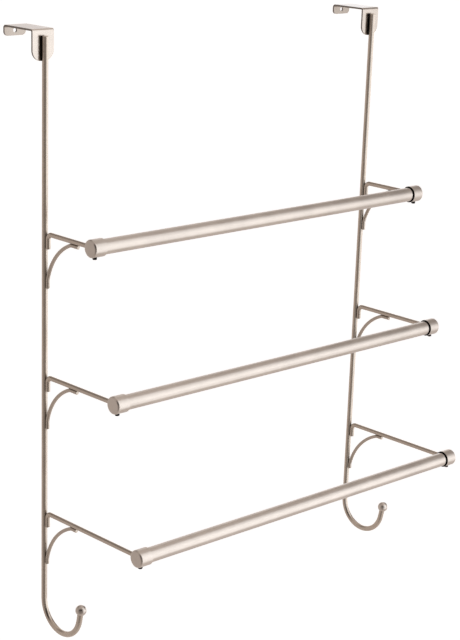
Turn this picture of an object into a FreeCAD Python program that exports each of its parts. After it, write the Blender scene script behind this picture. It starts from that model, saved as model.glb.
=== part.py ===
import FreeCAD, Part
import os
import math

from FreeCAD import Vector as V

# Over-the-door towel rack with three bars, all dimensions in millimetres.
#
# Frame: +Z up, +X across the door, -Y out into the room (front), +Y through
# the door (back). The origin is the centre of the line between the two fixing
# holes in the brackets' rear flanges: X = 0 midway between the brackets,
# Y = 0 on the inner face of the rear flanges (the back of the door),
# Z = 0 at the height of the hole centres.
#
# Each side frame is one bent wire upright with a sheet bracket on top, three
# bent wire arms, three curved wire braces, three turned end sockets and a ball
# on the end of the hook, all welded together. The three towel bars are tubes
# that fit loosely in the sockets, and a headless set screw under each socket
# pinches its tube.

# ---------------------------------------------------------------- dimensions
UPRIGHT_SPACING = 480.0      # between the axes of the two uprights
UPRIGHT_D = 6.4              # wire of the uprights and hooks
ARM_D = 5.0                  # wire of the arms
BRACE_D = 4.0                # wire of the curved braces

# door bracket, one bent strip of sheet
SHEET_T = 2.0
BRACKET_W = 27.0
DOOR_GAP = 44.5              # between the inner faces of the two flanges
TOP_INNER_Z = 4.2            # underside of the top plate, rests on the door
FRONT_FLANGE_Z = -25.5       # lower tip of the front flange
REAR_FLANGE_Z = -5.3         # lower edge of the rear flange
FRONT_BEND_IN = 0.7          # inner bend radius, front
REAR_BEND_IN = 1.6           # inner bend radius, rear
FRONT_CORNER_R = 11.0        # lower corners of the front flange
REAR_CORNER_R = 4.5          # lower corners of the rear flange
SCREW_HOLE_R = 2.4
SHEET_EDGE_R = 0.3           # tumbled edge of the sheet

# tiers
TIER_Z = {"upper": -200.5, "middle": -354.0, "lower": -507.5}
REACH = {"upper": 81.0, "middle": 119.5, "lower": 159.5}   # upright axis to bar axis

# upright
UPRIGHT_TOP_Z = -0.4
HOOK_R = 31.0                # centre-line radius of the J hook
HOOK_CENTRE_Z = -608.0       # height where the wire starts to curve
HOOK_TURN = 168.5            # degrees turned by the curve
HOOK_LEG = 13.9              # straight from the curve's end to the ball's centre
BALL_R = 6.0
BALL_SEAT = 1.5              # the wire stops this far short of the ball's centre

# arm
ARM_LEG = 15.5               # leg welded down the upright, below the arm's axis
ARM_BEND_R = 5.0

# brace: straight foot, small bend, long arc, small bend, straight head
# the two upper pairs of braces are bent a little tighter than the lower pair
BRACE_FOOT_Z = {"upper": -57.2, "middle": -57.2, "lower": -58.5}   # lower end, below the arm's axis
BRACE_FOOT_TURN = 14.0
BRACE_HEAD_TURN = 22.0
BRACE_END_R = 8.0
BRACE_R = {"upper": 60.5, "middle": 60.5, "lower": 67.0}
BRACE_HEAD = {"upper": 10.8, "middle": 10.8, "lower": 7.2}

# tube and sockets
TUBE_R = 8.0
TUBE_WALL = 0.9
SOCKET_R = 9.4
SOCKET_OUT = 6.4             # from the arm's axis to the closed end
SOCKET_IN = 9.0              # from the arm's axis to the mouth
SOCKET_FLOOR = 2.0
SOCKET_EDGE_R = 2.1          # rounding of the closed end
SEAT_R = 8.06                # bore that the tube turns in
RELIEF_R = 8.95              # wider mouth
RELIEF_L = 4.0
TUBE_END_GAP = 0.3           # between the tube's end and the socket's floor

# headless set screw
SET_SCREW_R = 2.5
SET_SCREW_HOLE_R = 2.55
SET_SCREW_L = 3.5
SET_SCREW_TIP_GAP = 0.12          # between its tip and the tube
SET_SCREW_HEX_AF = 2.5
SET_SCREW_HEX_DEEP = 1.8
SET_SCREW_CHAMFER = 0.35

HALF = UPRIGHT_SPACING / 2.0
FLANGE_FRONT_Y = -DOOR_GAP - SHEET_T
UPRIGHT_Y = FLANGE_FRONT_Y - UPRIGHT_D / 2.0
TOP_Z = TOP_INNER_Z + SHEET_T
BAR_Y = {k: UPRIGHT_Y - r for k, r in REACH.items()}


# ------------------------------------------------------------------- helpers
def arc(a, mid, b):
    return Part.Arc(a, mid, b).toShape()


def line(a, b):
    return Part.LineSegment(a, b).toShape()


class Path:
    """A line of straight runs and arcs in the plane X = x, from a start and a heading in degrees from +Z towards -Y."""

    def __init__(self, x, y, z, heading):
        self.p = V(x, y, z)
        self.h = math.radians(heading)
        self.edges = []
        self.length = 0.0
        self.start, self.start_dir = V(self.p), self.direction()

    def direction(self, h=None):
        h = self.h if h is None else h
        return V(0, -math.sin(h), math.cos(h))

    def run(self, d):
        q = self.p + self.direction() * d
        self.edges.append(line(self.p, q))
        self.p = q
        self.length += d
        return self

    def turn(self, radius, degrees):
        # positive turns from +Z towards -Y
        a = math.radians(degrees)
        s = 1.0 if a > 0 else -1.0
        side = V(0, -math.cos(self.h), -math.sin(self.h)) * s
        c = self.p + side * radius

        def at(t):
            h = self.h + t
            out = V(0, -math.cos(h), -math.sin(h)) * (-s)
            return c + out * radius

        q = at(a)
        self.edges.append(arc(self.p, at(a / 2.0), q))
        self.p = q
        self.h += a
        self.length += radius * abs(a)
        return self

    def rod(self, r, name, start_chamfer=0.0, end_chamfer=0.0):
        wire = Part.Wire(self.edges)
        ring = Part.Wire(Part.makeCircle(r, self.start, self.start_dir))
        s = wire.makePipeShell([ring], True, False)
        s = solid_of(s)
        want = math.pi * r * r * self.length
        if abs(s.Volume - want) > 0.005 * want:
            raise RuntimeError("%s: volume %.1f, expected %.1f" % (name, s.Volume, want))
        for c, p in ((start_chamfer, self.start), (end_chamfer, self.p)):
            if c:
                ring_edges = [e for e in s.Edges if abs(e.BoundBox.Center.distanceToPoint(p)) < 0.02 and e.Length > 5.5 * r]
                s = solid_of(s.makeChamfer(c, ring_edges))
        return s


def solid_of(s):
    sol = s.Solids
    if len(sol) != 1:
        raise RuntimeError("expected one solid, got %d" % len(sol))
    return sol[0]


def turned(points, x0, y, z, toward):
    """A solid of revolution about the line through (., y, z) along X. points are (axial, radius) from x0, axial growing in the direction toward."""
    pts = [V(x0 + toward * a, y, z + r) for a, r in points]
    pts.append(pts[0])
    f = Part.Face(Part.Wire([line(a, b) for a, b in zip(pts, pts[1:]) if a.distanceToPoint(b) > 1e-7]))
    return solid_of(f.revolve(V(x0, y, z), V(1, 0, 0), 360))


def round_corner(cx, cy, r, a0, a1, n):
    """Points on an arc, for the rounded end of a turned profile."""
    return [(cx + r * math.cos(math.radians(a0 + (a1 - a0) * i / n)), cy + r * math.sin(math.radians(a0 + (a1 - a0) * i / n))) for i in range(n + 1)]


parts = {}


# ------------------------------------------------------------- door brackets
def bracket(x):
    ro, ri = FRONT_BEND_IN + SHEET_T, FRONT_BEND_IN
    so, si = REAR_BEND_IN + SHEET_T, REAR_BEND_IN
    x0 = x - BRACKET_W / 2.0
    yf, yb = FLANGE_FRONT_Y, SHEET_T
    k = math.sqrt(0.5)

    def p(y, z):
        return V(x0, y, z)

    e = [
        line(p(yf, FRONT_FLANGE_Z), p(yf, TOP_Z - ro)),
        arc(p(yf, TOP_Z - ro), p(yf + ro - ro * k, TOP_Z - ro + ro * k), p(yf + ro, TOP_Z)),
        line(p(yf + ro, TOP_Z), p(yb - so, TOP_Z)),
        arc(p(yb - so, TOP_Z), p(yb - so + so * k, TOP_Z - so + so * k), p(yb, TOP_Z - so)),
        line(p(yb, TOP_Z - so), p(yb, REAR_FLANGE_Z)),
        line(p(yb, REAR_FLANGE_Z), p(0, REAR_FLANGE_Z)),
        line(p(0, REAR_FLANGE_Z), p(0, TOP_INNER_Z - si)),
        arc(p(0, TOP_INNER_Z - si), p(-si + si * k, TOP_INNER_Z - si + si * k), p(-si, TOP_INNER_Z)),
        line(p(-si, TOP_INNER_Z), p(-DOOR_GAP + ri, TOP_INNER_Z)),
        arc(p(-DOOR_GAP + ri, TOP_INNER_Z), p(-DOOR_GAP + ri - ri * k, TOP_INNER_Z - ri + ri * k), p(-DOOR_GAP, TOP_INNER_Z - ri)),
        line(p(-DOOR_GAP, TOP_INNER_Z - ri), p(-DOOR_GAP, FRONT_FLANGE_Z)),
        line(p(-DOOR_GAP, FRONT_FLANGE_Z), p(yf, FRONT_FLANGE_Z)),
    ]
    strip = Part.Face(Part.Wire(e)).extrude(V(BRACKET_W, 0, 0))

    def flange_outline(y0, y1, zlow, r):
        # a plate with rounded lower corners, run along Y from y0 to y1
        a, b = x - BRACKET_W / 2.0, x + BRACKET_W / 2.0
        zt = TOP_Z + 5.0
        q = lambda u, w: V(u, y0, w)
        es = [
            line(q(a, zt), q(a, zlow + r)),
            arc(q(a, zlow + r), q(a + r - r * k, zlow + r - r * k), q(a + r, zlow)),
            line(q(a + r, zlow), q(b - r, zlow)),
            arc(q(b - r, zlow), q(b - r + r * k, zlow + r - r * k), q(b, zlow + r)),
            line(q(b, zlow + r), q(b, zt)),
            line(q(b, zt), q(a, zt)),
        ]
        return Part.Face(Part.Wire(es)).extrude(V(0, y1 - y0, 0))

    front = flange_outline(yf - 5.0, -DOOR_GAP + 6.0, FRONT_FLANGE_Z, FRONT_CORNER_R)
    rear = flange_outline(-DOOR_GAP + 6.0, yb + 5.0, REAR_FLANGE_Z, REAR_CORNER_R)
    clip = front.fuse(rear)
    s = strip.common(clip).removeSplitter()
    s = solid_of(s)
    # tumble the strip's edges, then drill the fixing hole
    s = solid_of(s.makeFillet(SHEET_EDGE_R, edges_of_sheet(s, x)))
    hole = Part.makeCylinder(SCREW_HOLE_R, 20.0, V(x, -8.0, 0.0), V(0, 1, 0))
    return solid_of(s.cut(hole))


def edges_of_sheet(s, x):
    """The long edges of the strip's outline: every edge that lies on a side face or on the rounded lower ends, but not the short ones across the sheet."""
    out = []
    for e in s.Edges:
        bb = e.BoundBox
        on_side = abs(bb.XMin - bb.XMax) < 1e-6 and abs(abs(bb.XMin - x) - BRACKET_W / 2.0) < 1e-6
        across = on_side and abs(e.Length - SHEET_T) < 1e-3
        if across:
            continue
        if on_side:
            out.append(e)
            continue
        # rounded lower corners and lower ends, in a plane of constant Y
        if abs(bb.YMax - bb.YMin) < 1e-6 and bb.ZMax < TOP_INNER_Z - 3.0:
            out.append(e)
    return out


# ---------------------------------------------------------- uprights & hooks
def upright(x):
    p = Path(x, UPRIGHT_Y, UPRIGHT_TOP_Z, 180.0)
    p.run(UPRIGHT_TOP_Z - HOOK_CENTRE_Z)
    p.turn(HOOK_R, -HOOK_TURN)
    end_dir = p.direction()
    ball = p.p + end_dir * HOOK_LEG
    p.run(HOOK_LEG - BALL_SEAT)
    return p.rod(UPRIGHT_D / 2.0, "upright", start_chamfer=0.5), ball, end_dir


def hook_ball(centre, d):
    s = Part.makeSphere(BALL_R, centre, d)
    seat = Part.makeCylinder(UPRIGHT_D / 2.0, BALL_R + 2.0, centre - d * BALL_SEAT, d * -1.0)
    return solid_of(s.cut(seat))


# ---------------------------------------------------------------------- arms
def arm(x, tier):
    z, yb = TIER_Z[tier], BAR_Y[tier]
    y0 = UPRIGHT_Y - UPRIGHT_D / 2.0 - ARM_D / 2.0
    p = Path(x, y0, z - ARM_LEG, 0.0)
    p.run(ARM_LEG - ARM_BEND_R).turn(ARM_BEND_R, 90.0)
    p.run((y0 - ARM_BEND_R) - yb)
    s = p.rod(ARM_D / 2.0, "arm", start_chamfer=0.3)
    # the front end is saddled to the round of the socket
    s = s.cut(Part.makeCylinder(SOCKET_R, 40.0, V(x - 20.0, yb, z), V(1, 0, 0)))
    return solid_of(s)


# -------------------------------------------------------------------- braces
def brace(x, tier):
    z = TIER_Z[tier]
    y0 = UPRIGHT_Y - UPRIGHT_D / 2.0 - BRACE_D / 2.0
    top = z - ARM_D / 2.0 - BRACE_D / 2.0
    a, b = math.radians(BRACE_FOOT_TURN), math.radians(90.0 - BRACE_HEAD_TURN)
    r = BRACE_R[tier]
    low = z + BRACE_FOOT_Z[tier]
    rise = BRACE_END_R * math.sin(a) + r * (math.sin(b) - math.sin(a)) + BRACE_END_R * (1.0 - math.sin(b))
    foot = top - low - rise
    p = Path(x, y0, low, 0.0)
    p.run(foot).turn(BRACE_END_R, BRACE_FOOT_TURN).turn(r, 90.0 - BRACE_FOOT_TURN - BRACE_HEAD_TURN)
    p.turn(BRACE_END_R, BRACE_HEAD_TURN).run(BRACE_HEAD[tier])
    return p.rod(BRACE_D / 2.0, "brace", start_chamfer=0.25, end_chamfer=0.25)


# ------------------------------------------------------------------- sockets
def socket(side, tier):
    x, y, z = side * HALF, BAR_Y[tier], TIER_Z[tier]
    r, L = SOCKET_R, SOCKET_OUT + SOCKET_IN
    x0 = x + side * SOCKET_OUT
    yz = lambda a, rad: V(x0 - side * a, y, z + rad)
    k = math.sqrt(0.5)
    e, c, lip = SOCKET_EDGE_R, 0.15, 0.12
    mouth = L
    pts = [
        line(yz(0, 0), yz(0, r - e)),
        arc(yz(0, r - e), yz(e - e * k, r - e + e * k), yz(e, r)),
        line(yz(e, r), yz(mouth - c, r)),
        line(yz(mouth - c, r), yz(mouth, r - c)),
        line(yz(mouth, r - c), yz(mouth, RELIEF_R + lip)),
        line(yz(mouth, RELIEF_R + lip), yz(mouth - lip, RELIEF_R)),
        line(yz(mouth - lip, RELIEF_R), yz(mouth - RELIEF_L, RELIEF_R)),
        line(yz(mouth - RELIEF_L, RELIEF_R), yz(mouth - RELIEF_L, SEAT_R)),
        line(yz(mouth - RELIEF_L, SEAT_R), yz(SOCKET_FLOOR, SEAT_R)),
        line(yz(SOCKET_FLOOR, SEAT_R), yz(SOCKET_FLOOR, 0)),
        line(yz(SOCKET_FLOOR, 0), yz(0, 0)),
    ]
    s = solid_of(Part.Face(Part.Wire(pts)).revolve(V(x0, y, z), V(1, 0, 0), 360))
    tapped = Part.makeCylinder(SET_SCREW_HOLE_R, 8.0, V(x, y, z - 5.0), V(0, 0, -1))
    return solid_of(s.cut(tapped))


# ------------------------------------------------------------------- bar tubes
def towel_bar(tier):
    y, z = BAR_Y[tier], TIER_Z[tier]
    h = HALF + SOCKET_OUT - SOCKET_FLOOR - TUBE_END_GAP
    ri = TUBE_R - TUBE_WALL
    c = 0.2
    yz = lambda a, rad: V(a, y, z + rad)
    pts = [yz(-h, ri + c), yz(-h, TUBE_R - c), yz(-h + c, TUBE_R), yz(h - c, TUBE_R), yz(h, TUBE_R - c), yz(h, ri + c), yz(h - c, ri), yz(-h + c, ri)]
    pts.append(pts[0])
    f = Part.Face(Part.Wire([line(a, b) for a, b in zip(pts, pts[1:])]))
    return solid_of(f.revolve(V(0, y, z), V(1, 0, 0), 360))


# ----------------------------------------------------------------- set screws
def set_screw(side, tier):
    x, y, z = side * HALF, BAR_Y[tier], TIER_Z[tier]
    top = z - TUBE_R - SET_SCREW_TIP_GAP
    low = top - SET_SCREW_L
    c = SET_SCREW_CHAMFER
    q = lambda rad, h: V(x + rad, y, h)
    pts = [q(0, top), q(SET_SCREW_R - c, top), q(SET_SCREW_R, top - c), q(SET_SCREW_R, low + c), q(SET_SCREW_R - c, low), q(0, low), q(0, top)]
    s = Part.Face(Part.Wire([line(a, b) for a, b in zip(pts, pts[1:])])).revolve(V(x, y, 0), V(0, 0, 1), 360)
    rr = SET_SCREW_HEX_AF / math.sqrt(3.0)
    hexa = [V(x + rr * math.cos(math.radians(60 * i + 30)), y + rr * math.sin(math.radians(60 * i + 30)), low - 1.0) for i in range(7)]
    key = Part.Face(Part.Wire([line(a, b) for a, b in zip(hexa, hexa[1:])])).extrude(V(0, 0, 1.0 + SET_SCREW_HEX_DEEP))
    return solid_of(solid_of(s).cut(key))


for side_name, side in (("left", -1.0), ("right", 1.0)):
    x = side * HALF
    parts[side_name + "_door_bracket"] = bracket(x)
    rod, ball_at, ball_dir = upright(x)
    parts[side_name + "_upright"] = rod
    parts[side_name + "_hook_ball"] = hook_ball(ball_at, ball_dir)
    for tier in ("upper", "middle", "lower"):
        parts["%s_%s_arm" % (tier, side_name)] = arm(x, tier)
        parts["%s_%s_brace" % (tier, side_name)] = brace(x, tier)
        parts["%s_%s_socket" % (tier, side_name)] = socket(side, tier)
        parts["%s_%s_set_screw" % (tier, side_name)] = set_screw(side, tier)

for tier in ("upper", "middle", "lower"):
    parts["%s_towel_bar" % tier] = towel_bar(tier)

os.makedirs("parts", exist_ok=True)
for name in sorted(parts):
    s = parts[name]
    if not s.isValid():
        raise RuntimeError(name + " is not a valid solid")
    if s.Volume < 0:
        s = s.reversed()
    s.exportStep(os.path.join("parts", name + ".step"))
    bb = s.BoundBox
    print("%-26s %8.0f mm3  x %.1f..%.1f  y %.1f..%.1f  z %.1f..%.1f" % (name, s.Volume, bb.XMin, bb.XMax, bb.YMin, bb.YMax, bb.ZMin, bb.ZMax))
print(len(parts), "parts")
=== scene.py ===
import math

import bmesh
import bpy
from mathutils import Matrix, Vector


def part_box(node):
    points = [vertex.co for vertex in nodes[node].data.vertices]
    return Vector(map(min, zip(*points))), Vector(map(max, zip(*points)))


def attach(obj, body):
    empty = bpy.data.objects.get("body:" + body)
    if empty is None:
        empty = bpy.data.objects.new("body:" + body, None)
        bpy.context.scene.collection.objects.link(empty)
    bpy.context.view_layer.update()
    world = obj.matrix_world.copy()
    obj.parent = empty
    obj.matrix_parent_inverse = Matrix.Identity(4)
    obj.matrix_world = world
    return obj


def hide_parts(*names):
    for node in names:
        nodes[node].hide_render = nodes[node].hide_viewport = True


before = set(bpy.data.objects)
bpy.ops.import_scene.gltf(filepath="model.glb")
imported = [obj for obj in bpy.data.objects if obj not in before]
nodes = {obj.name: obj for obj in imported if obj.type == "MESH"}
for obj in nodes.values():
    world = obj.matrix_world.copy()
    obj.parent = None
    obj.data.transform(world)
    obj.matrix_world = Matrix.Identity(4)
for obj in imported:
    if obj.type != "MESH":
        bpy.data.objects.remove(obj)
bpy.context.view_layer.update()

scene = bpy.context.scene
SOFTBOX_Y = -0.88
SOFTBOX = {"core": (0.46, 0.96, -0.26, 0.92, 0.62), "skirt": (0.58, 1.30, 0.00, 2.30, 0.66)}   # X and width, Z and height, radiance
SWEEP, SIDE, ROOM_LEFT, ROOM_RIGHT, ROOM_NEAR, ROOM_DIM = 1.15, 1.60, 0.58, 0.74, 0.50, 0.60
TIERS = ("upper", "middle", "lower")
SIDES = ("left", "right")


# ------------------------------------------------------------------ materials
class Tree:
    """A short way to write a node tree."""

    def __init__(self, mat):
        mat.use_nodes = True
        self.nt = mat.node_tree
        self.nt.nodes.clear()
        self.out = self.nt.nodes.new("ShaderNodeOutputMaterial")

    def add(self, kind, **sets):
        n = self.nt.nodes.new(kind)
        for k, v in sets.items():
            if hasattr(n, k):
                setattr(n, k, v)
            else:
                n.inputs[k.replace("_", " ")].default_value = v
        return n

    def link(self, a, b):
        self.nt.links.new(a, b)
        return b.node

    def ramp(self, fac, stops, interp="LINEAR"):
        r = self.nt.nodes.new("ShaderNodeValToRGB")
        r.color_ramp.interpolation = interp
        e = r.color_ramp.elements
        while len(e) < len(stops):
            e.new(0.5)
        for el, (p, c) in zip(e, stops):
            el.position = p
            el.color = (c, c, c, 1.0) if not hasattr(c, "__len__") else (*c, 1.0)
        self.link(fac, r.inputs["Fac"])
        return r.outputs["Color"]

    def math(self, op, a, b, clamp=False):
        m = self.nt.nodes.new("ShaderNodeMath")
        m.operation = op
        m.use_clamp = clamp
        for s, v in ((0, a), (1, b)):
            if hasattr(v, "node"):
                self.link(v, m.inputs[s])
            else:
                m.inputs[s].default_value = v
        return m.outputs[0]

    def mix(self, fac, a, b, mode="MIX"):
        m = self.nt.nodes.new("ShaderNodeMix")
        m.data_type = "RGBA"
        m.blend_type = mode
        for s, v in ((0, fac), (6, a), (7, b)):
            if hasattr(v, "node"):
                self.link(v, m.inputs[s])
            elif s == 0:
                m.inputs[s].default_value = v
            else:
                m.inputs[s].default_value = (*v, 1.0)
        return m.outputs[2]


def satin_nickel(name, grain_scale, tint=(0.68, 0.596, 0.52), rough=(0.27, 0.34), bump=0.00002, crevice=0.006, crevice_shade=0.12, crevice_full=0.62, bore=None, mouth=None, rings=None, side_shade=None):
    """Satin nickel plate. grain_scale stretches the brushing noise: a low number runs along that axis."""
    mat = bpy.data.materials.new(name)
    t = Tree(mat)
    bsdf = t.add("ShaderNodeBsdfPrincipled")
    bsdf.inputs["Metallic"].default_value = 1.0
    t.link(bsdf.outputs[0], t.out.inputs["Surface"])
    co = t.add("ShaderNodeTexCoord").outputs["Object"]

    mp = t.add("ShaderNodeMapping")
    mp.inputs["Scale"].default_value = grain_scale
    t.link(co, mp.inputs["Vector"])
    grain = t.add("ShaderNodeTexNoise")
    grain.inputs["Scale"].default_value = 1.0
    grain.inputs["Detail"].default_value = 6.0
    grain.inputs["Roughness"].default_value = 0.62
    t.link(mp.outputs[0], grain.inputs["Vector"])

    cloud = t.add("ShaderNodeTexNoise")
    cloud.inputs["Scale"].default_value = 38.0
    cloud.inputs["Detail"].default_value = 4.0
    cloud.inputs["Roughness"].default_value = 0.55
    t.link(co, cloud.inputs["Vector"])

    # colour: a little lighter and darker with the plating, with painted shade deep in the crevices and where
    # parts meet
    dark = tuple(c * 0.93 for c in tint)
    light = tuple(min(1.0, c * 1.05) for c in tint)
    base = t.ramp(cloud.outputs["Fac"], [(0.32, dark), (0.70, light)])
    g = t.ramp(grain.outputs["Fac"], [(0.30, 0.94), (0.72, 1.0)])
    base = t.mix(1.0, base, g, "MULTIPLY")
    # painted shade: ambient occlusion darkens the colour in crevices and where parts touch
    if crevice:
        ao = t.add("ShaderNodeAmbientOcclusion")
        ao.samples = 8
        ao.inputs["Distance"].default_value = crevice
        a = t.ramp(ao.outputs["AO"], [(max(0.05, crevice_full - 0.57), crevice_shade), (crevice_full, 1.0)])
        base = t.mix(1.0, base, a, "MULTIPLY")
    if rings:
        # distance from the socket's own axis, which runs along X
        sep = t.add("ShaderNodeSeparateXYZ")
        mv = t.add("ShaderNodeVectorMath")
        mv.operation = "SUBTRACT"
        mv.inputs[1].default_value = rings
        t.link(co, mv.inputs[0])
        t.link(mv.outputs[0], sep.inputs[0])
        yy = t.math("MULTIPLY", sep.outputs["Y"], sep.outputs["Y"])
        zz = t.math("MULTIPLY", sep.outputs["Z"], sep.outputs["Z"])
        rad = t.math("SQRT", t.math("ADD", yy, zz), 0.0)
    inside = None
    if bore:
        # painted shade: the bore round the tube is coloured near black, standing in for the shadow in the gap:
        # (radius, X where the closed end starts)
        inside = t.math("MULTIPLY", t.math("LESS_THAN", rad, bore[0]), t.math("LESS_THAN", t.math("ABSOLUTE", sep.outputs["X"], 0.0), bore[1]))
        base = t.mix(inside, base, (0.012, 0.010, 0.009))
    if mouth:
        # painted shade: the tube is coloured near black inside the sockets and just short of their mouths,
        # standing in for the shadow in the gap
        sx = t.add("ShaderNodeSeparateXYZ")
        t.link(co, sx.inputs[0])
        inside = t.math("MAXIMUM", t.math("LESS_THAN", sx.outputs["X"], -mouth[0]), t.math("GREATER_THAN", sx.outputs["X"], mouth[1]))
        base = t.mix(inside, base, (0.012, 0.010, 0.009))
    if side_shade:
        # painted shade: the sheet's cut sides, which face along X, are coloured darker
        gn = t.add("ShaderNodeSeparateXYZ")
        t.link(t.add("ShaderNodeTexCoord").outputs["Normal"], gn.inputs[0])
        side = t.ramp(t.math("ABSOLUTE", gn.outputs["X"], 0.0), [(0.22, 1.0), (0.72, side_shade)])
        base = t.mix(1.0, base, side, "MULTIPLY")
        # painted shade too: the rear flange's inner face, deep in the fold, is coloured darker
        py = t.add("ShaderNodeSeparateXYZ")
        t.link(co, py.inputs[0])
        fold = t.math("MULTIPLY", t.math("GREATER_THAN", py.outputs["Y"], -0.0010), t.math("LESS_THAN", gn.outputs["Y"], -0.5))
        base = t.mix(fold, base, t.mix(1.0, base, (0.70, 0.68, 0.66), "MULTIPLY"))
    t.link(base, bsdf.inputs["Base Color"])

    # roughness: satin, with the brushing and a few handled patches
    r1 = t.ramp(grain.outputs["Fac"], [(0.25, rough[0]), (0.75, rough[1])])
    r2 = t.ramp(cloud.outputs["Fac"], [(0.35, -0.0), (0.75, 0.05)])
    r = t.math("ADD", r1, r2)
    if inside is not None:
        # the painted-shade region inside is also made dull and has no lacquer, and its edge reflections are
        # tinted dark as painted shade
        r = t.math("MAXIMUM", r, t.math("MULTIPLY", inside, 0.8))
        t.link(t.math("SUBTRACT", 0.12, t.math("MULTIPLY", inside, 0.12)), bsdf.inputs["Coat Weight"])
        t.link(t.mix(inside, (1.0, 1.0, 1.0), (0.10, 0.06, 0.04)), bsdf.inputs["Specular Tint"])
    t.link(r, bsdf.inputs["Roughness"])

    height = grain.outputs["Fac"]
    if rings:
        # fine turning rings
        wave = t.math("SINE", t.math("MULTIPLY", rad, 2 * math.pi / 0.00045), 0.0)
        height = t.math("ADD", t.math("MULTIPLY", wave, 0.35), grain.outputs["Fac"])
    b = t.add("ShaderNodeBump")
    b.inputs["Strength"].default_value = 0.35
    b.inputs["Distance"].default_value = bump
    t.link(height, b.inputs["Height"])
    t.link(b.outputs[0], bsdf.inputs["Normal"])
    if inside is None:
        bsdf.inputs["Coat Weight"].default_value = 0.12
    bsdf.inputs["Coat Roughness"].default_value = 0.22
    bsdf.inputs["Coat IOR"].default_value = 1.5
    return mat


def black_oxide(name):
    mat = bpy.data.materials.new(name)
    t = Tree(mat)
    bsdf = t.add("ShaderNodeBsdfPrincipled")
    bsdf.inputs["Metallic"].default_value = 1.0
    t.link(bsdf.outputs[0], t.out.inputs["Surface"])
    co = t.add("ShaderNodeTexCoord").outputs["Object"]
    n = t.add("ShaderNodeTexNoise")
    n.inputs["Scale"].default_value = 900.0
    n.inputs["Detail"].default_value = 5.0
    t.link(co, n.inputs["Vector"])
    t.link(t.ramp(n.outputs["Fac"], [(0.3, (0.030, 0.027, 0.025)), (0.75, (0.085, 0.078, 0.072))]), bsdf.inputs["Base Color"])
    t.link(t.ramp(n.outputs["Fac"], [(0.3, 0.34), (0.75, 0.55)]), bsdf.inputs["Roughness"])
    b = t.add("ShaderNodeBump")
    b.inputs["Strength"].default_value = 0.3
    b.inputs["Distance"].default_value = 0.00003
    t.link(n.outputs["Fac"], b.inputs["Height"])
    t.link(b.outputs[0], bsdf.inputs["Normal"])
    return mat


ALONG_X = (55.0, 2600.0, 2600.0)
ALONG_Y = (2600.0, 55.0, 2600.0)
ALONG_Z = (2600.0, 2600.0, 55.0)
EVEN = (900.0, 900.0, 900.0)
WIRE = (0.63, 0.53, 0.44)        # the wire parts get a darker tint than the tubes

MOUTH_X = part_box("upper_right_socket")[0][0]      # where the tubes go into the sockets
SOCKET_R = (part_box("upper_right_socket")[1][2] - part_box("upper_right_socket")[0][2]) / 2.0
SOCKET_END_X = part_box("upper_right_socket")[1][0]

mats = {
    # the crevice settings paint shade where parts meet, nearly black on the uprights and beside the rods on the
    # bracket flanges
    "upright": satin_nickel("satin_nickel_upright", ALONG_Z, (0.665, 0.563, 0.468), rough=(0.21, 0.28), crevice=0.010, crevice_shade=0.03, crevice_full=0.90),
    "arm": satin_nickel("satin_nickel_arm", ALONG_Y, WIRE, rough=(0.21, 0.28), crevice=0.007, crevice_shade=0.14, crevice_full=0.74),
    "brace": satin_nickel("satin_nickel_brace", EVEN, (0.57, 0.482, 0.402), rough=(0.21, 0.28), crevice=0.006, crevice_shade=0.22, crevice_full=0.68),
    "bar": satin_nickel("satin_nickel_bar", ALONG_X, mouth=(MOUTH_X - 0.0009, MOUTH_X - 0.0020)),
    "ball": satin_nickel("satin_nickel_ball", EVEN),
    "bracket": satin_nickel("satin_nickel_bracket", ALONG_Y, rough=(0.17, 0.23), crevice=0.004, crevice_shade=0.01, crevice_full=0.70, side_shade=0.34),
    "screw": black_oxide("black_oxide_screw"),
}
sockets = {}
for t_ in TIERS:
    lo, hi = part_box(f"{t_}_left_socket")
    sockets[t_] = satin_nickel(f"satin_nickel_socket_{t_}", EVEN, bore=(SOCKET_R - 0.0001, SOCKET_END_X - 0.0015), rings=(0.0, (lo[1] + hi[1]) / 2, (lo[2] + hi[2]) / 2))


def set_material(obj, mat):
    if not obj.material_slots:
        obj.data.materials.append(mat)
    for s in obj.material_slots:
        s.material = mat


for name, obj in nodes.items():
    if name.endswith("upright"):
        set_material(obj, mats["upright"])
    elif name.endswith("arm"):
        set_material(obj, mats["arm"])
    elif name.endswith("brace"):
        set_material(obj, mats["brace"])
    elif name.endswith("towel_bar"):
        set_material(obj, mats["bar"])
    elif name.endswith("hook_ball"):
        set_material(obj, mats["ball"])
    elif name.endswith("door_bracket"):
        set_material(obj, mats["bracket"])
    elif name.endswith("set_screw"):
        set_material(obj, mats["screw"])
    elif name.endswith("socket"):
        set_material(obj, sockets[name.split("_")[0]])


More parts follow.
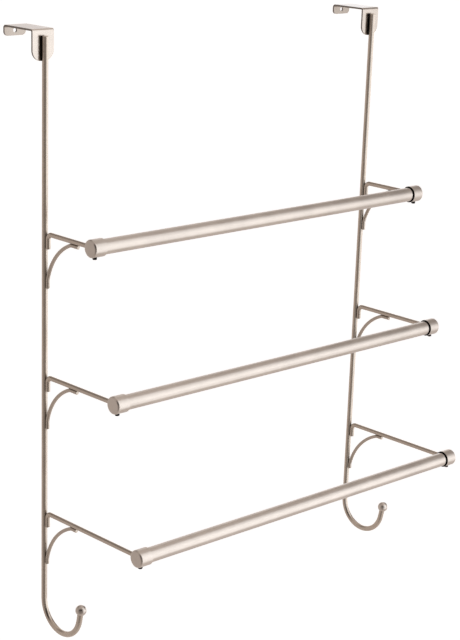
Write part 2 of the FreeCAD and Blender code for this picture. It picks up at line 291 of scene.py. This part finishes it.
# ----------------------------------------------------------------- set screws
def threaded_screw(name, lo, hi, pitch=0.0008, hex_af=0.0025, hex_deep=0.0018):
    """A headless set screw along Z: a real helical thread, chamfered ends, hexagon socket below and a cup point above."""
    cx, cy = (lo[0] + hi[0]) / 2, (lo[1] + hi[1]) / 2
    R, z0, z1 = (hi[0] - lo[0]) / 2, lo[2], hi[2]
    around, depth = 60, 0.61 * pitch
    rows = int((z1 - z0) / pitch * 18)
    verts, faces = [], []

    def ring(radius_at, z_at):
        first = len(verts)
        for i in range(around):
            a = 2 * math.pi * i / around
            rr, z = radius_at(a), z_at(a)
            verts.append((cx + rr * math.cos(a), cy + rr * math.sin(a), z))
        return first

    def skin(a, b):
        for i in range(around):
            j = (i + 1) % around
            faces.append((a + i, a + j, b + j, b + i))

    def cap(a, z, flip):
        c = len(verts)
        verts.append((cx, cy, z))
        for i in range(around):
            j = (i + 1) % around
            faces.append((a + i, a + j, c) if flip else (a + j, a + i, c))

    def thread(z):
        def at(a):
            phase = (z / pitch - a / (2 * math.pi)) % 1.0
            root = min(1.0, max(0.0, (abs(2 * phase - 1.0) - 0.10) / 0.72))
            end = min(z - z0, z1 - z)
            return min(R - depth * root, R - 0.00052 + min(0.00052, end * 1.1))
        return at

    def hexagon(grow):
        return lambda a: (hex_af / 2 + grow) / math.cos((a % (math.pi / 3)) - math.pi / 6)

    flat = lambda z: (lambda a: z)
    # from the hexagon's floor out to the lower end, up the thread, and over the point
    floor_ring = ring(hexagon(0.0), flat(z0 + hex_deep))
    lip = ring(hexagon(0.0), flat(z0 + 0.00012))
    lip_out = ring(hexagon(0.00010), flat(z0))
    cap(floor_ring, z0 + hex_deep + 0.00035, True)
    skin(lip, floor_ring)
    skin(lip_out, lip)
    last = lip_out
    for k in range(rows + 1):
        z = z0 + (z1 - z0) * k / rows
        now = ring(thread(z), flat(z))
        skin(last, now)
        last = now
    cup = ring(lambda a: 0.0014, flat(z1))
    skin(last, cup)
    cap(cup, z1 - 0.00035, True)
    me = bpy.data.meshes.new(name)
    me.from_pydata(verts, [], faces)
    me.validate()
    bm = bmesh.new()
    bm.from_mesh(me)
    bmesh.ops.recalc_face_normals(bm, faces=bm.faces)
    bm.to_mesh(me)
    bm.free()
    me.shade_smooth()
    me.set_sharp_from_angle(angle=math.radians(50))
    o = bpy.data.objects.new(name, me)
    scene.collection.objects.link(o)
    me.materials.append(mats["screw"])
    return o


for t_ in TIERS:
    for side_ in SIDES:
        node = f"{t_}_{side_}_set_screw"
        lo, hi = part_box(node)
        piece = threaded_screw(f"{t_}_{side_}_threaded_screw", lo, hi)
        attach(piece, f"{t_}_{side_}_screw")
        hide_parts(node)


# ---------------------------------------------------------------------- stage
def plane(name, size, location, mat):
    me = bpy.data.meshes.new(name)
    s = size / 2.0
    me.from_pydata([(-s, -s, 0), (s, -s, 0), (s, s, 0), (-s, s, 0)], [], [(0, 1, 2, 3)])
    o = bpy.data.objects.new(name, me)
    o.location = location
    scene.collection.objects.link(o)
    me.materials.append(mat)
    return o


def floor_material():
    mat = bpy.data.materials.new("floor_pale")
    t = Tree(mat)
    bsdf = t.add("ShaderNodeBsdfPrincipled")
    bsdf.inputs["Base Color"].default_value = (0.9, 0.9, 0.9, 1)
    bsdf.inputs["Roughness"].default_value = 0.9
    bsdf.inputs["Emission Color"].default_value = (1, 1, 1, 1)
    bsdf.inputs["Emission Strength"].default_value = 0.6
    t.link(bsdf.outputs[0], t.out.inputs["Surface"])
    return mat


floor = plane("floor", 160.0, (0, 0, -2.03), floor_material())
floor.visible_glossy = False     # the metal sees the studio's own dim lower half, not the floor

# world: a plain white studio, brightest to the right of the rack and behind it,
# dimmer to its left, overhead and underfoot, as big soft panels light it
BACK = (0.69, 0.72, 0.0)           # level, away from the viewer
world = bpy.data.worlds.new("studio")
scene.world = world
world.use_nodes = True
wt = world.node_tree
wt.nodes.clear()


def wnode(kind, **sets):
    n = wt.nodes.new(kind)
    for k, v in sets.items():
        setattr(n, k, v)
    return n


def wmath(op, a, b):
    m = wnode("ShaderNodeMath", operation=op)
    for i, v in enumerate((a, b)):
        if hasattr(v, "node"):
            wt.links.new(v, m.inputs[i])
        else:
            m.inputs[i].default_value = v
    return m.outputs[0]


def wdot(vec, axis):
    m = wnode("ShaderNodeVectorMath", operation="DOT_PRODUCT")
    wt.links.new(vec, m.inputs[0])
    m.inputs[1].default_value = axis
    return m.outputs["Value"]


def wstep(v, lo, hi, a=0.0, b=1.0):
    m = wnode("ShaderNodeMapRange", interpolation_type="SMOOTHSTEP")
    wt.links.new(v, m.inputs["Value"])
    m.inputs["From Min"].default_value = lo
    m.inputs["From Max"].default_value = hi
    m.inputs["To Min"].default_value = a
    m.inputs["To Max"].default_value = b
    return m.outputs["Result"]


direction = wnode("ShaderNodeTexCoord").outputs["Generated"]
away = wdot(direction, BACK)
height = wdot(direction, (0.0, 0.0, 1.0))
across = wdot(direction, (1.0, 0.0, 0.0))
back = wdot(direction, (0.0, 1.0, 0.0))
sweep = wmath("MULTIPLY", wmath("MULTIPLY", wstep(away, 0.45, 0.85), wstep(back, 0.68, 0.84, 1.0, 0.68)), wmath("MULTIPLY", wstep(height, -0.55, -0.3), wstep(height, 0.32, 0.60, 1.0, 0.0)))
plain = wstep(across, -0.5, 0.5, ROOM_LEFT, ROOM_RIGHT)
beyond = wmath("MULTIPLY", wstep(across, 0.60, 0.76), wmath("MULTIPLY", wstep(height, 0.25, 0.45), wstep(height, 0.70, 0.80, 1.0, 0.0)))
corner = wmath("MULTIPLY", wstep(across, 0.35, 0.55, 1.0, 0.0), wmath("MULTIPLY", wstep(back, 0.40, 0.65), wstep(height, 0.35, 0.60)))
shade = wmath("SUBTRACT", 1.0, wmath("MULTIPLY", wmath("MAXIMUM", beyond, corner), ROOM_DIM))
low = wstep(height, 0.05, 0.35, ROOM_NEAR, 0.03)
near = wmath("SUBTRACT", 1.0, wmath("MULTIPLY", wstep(away, -0.80, -0.42, 1.0, 0.0), wmath("SUBTRACT", 1.0, low)))
room = wmath("MULTIPLY", near, wmath("MULTIPLY", plain, shade))
right = wmath("MULTIPLY", wstep(across, 0.78, 0.93), wmath("MULTIPLY", wstep(height, -0.55, -0.3), wstep(height, 0.0, 0.3, 1.0, 0.0)))
lit = wmath("MAXIMUM", wmath("MULTIPLY", sweep, SWEEP), wmath("MULTIPLY", right, SIDE))
edge = wmath("MULTIPLY", wstep(across, 0.76, 0.85), wstep(height, -0.02, 0.14))       # the panels end at the upper right
seam = wmath("MULTIPLY", wstep(across, 0.78, 0.85), wstep(back, 0.33, 0.43))           # and leave a dim seam between them
lit = wmath("MULTIPLY", lit, wmath("SUBTRACT", 1.0, wmath("MAXIMUM", wmath("MULTIPLY", edge, 0.9), wmath("MULTIPLY", seam, 0.7))))
level = wmath("MAXIMUM", lit, wmath("MULTIPLY", room, wmath("SUBTRACT", 1.0, wmath("MULTIPLY", edge, 0.6))))
warmth = wstep(level, 0.55, 1.25)
wo = wnode("ShaderNodeOutputWorld")
bg = wnode("ShaderNodeBackground")
tone = wnode("ShaderNodeMix", data_type="RGBA")
tone.inputs[6].default_value = (1.0, 0.925, 0.895, 1)      # the warm room
tone.inputs[7].default_value = (1.0, 1.02, 1.06, 1)        # the daylight panels
wt.links.new(warmth, tone.inputs[0])
wt.links.new(tone.outputs[2], bg.inputs["Color"])
wt.links.new(level, bg.inputs["Strength"])
white = wnode("ShaderNodeBackground")
white.inputs["Color"].default_value = (1, 1, 1, 1)
white.inputs["Strength"].default_value = 1.0
seen = wnode("ShaderNodeMixShader")
wt.links.new(wnode("ShaderNodeLightPath").outputs["Is Camera Ray"], seen.inputs[0])
wt.links.new(bg.outputs[0], seen.inputs[1])
wt.links.new(white.outputs[0], seen.inputs[2])
wt.links.new(seen.outputs[0], wo.inputs[0])

# one large softbox stands close, in front of the rack and to its right: a bright core in a weaker, taller skirt
for part, (x_mid, wide, z_mid, tall, radiance) in SOFTBOX.items():
    data = bpy.data.lights.new(f"softbox_{part}", "AREA")
    data.shape = "RECTANGLE"
    data.size, data.size_y = wide, tall
    data.energy = radiance / 0.80 * math.pi * wide * tall
    data.color = (0.80, 0.90, 1.0)
    lamp = bpy.data.objects.new(f"softbox_{part}", data)
    lamp.location = (x_mid, SOFTBOX_Y, z_mid)
    lamp.rotation_euler = Vector((0.0, 1.0, 0.0)).to_track_quat("-Z", "Y").to_euler()
    lamp.visible_camera = False
    scene.collection.objects.link(lamp)

# --------------------------------------------------------------------- camera
yaw, pitch, roll = (math.radians(a) for a in (43.768, 17.557, 2.007))
d = Vector((math.sin(yaw) * math.cos(pitch), math.cos(yaw) * math.cos(pitch), -math.sin(pitch)))
r = Vector((math.cos(yaw), -math.sin(yaw), 0.0))
u = r.cross(d)
r2 = r * math.cos(roll) + u * math.sin(roll)
u2 = u * math.cos(roll) - r * math.sin(roll)
cam_data = bpy.data.cameras.new("camera")
cam_data.sensor_width = 36.0
cam_data.lens = 1757.63 * 36.0 / 640.0
cam_data.shift_y = 60.0 / 640.0
cam_data.clip_start = 0.05
cam_data.clip_end = 300.0
cam = bpy.data.objects.new("camera", cam_data)
rot = Matrix((r2, u2, -d)).transposed().to_4x4()
cam.matrix_world = Matrix.Translation(Vector((-1.3175, -1.4563, 0.2060))) @ rot
scene.collection.objects.link(cam)
scene.camera = cam

scene.view_settings.view_transform = "Standard"
scene.view_settings.look = "None"
scene.view_settings.exposure = 0.0
scene.view_settings.gamma = 1.0
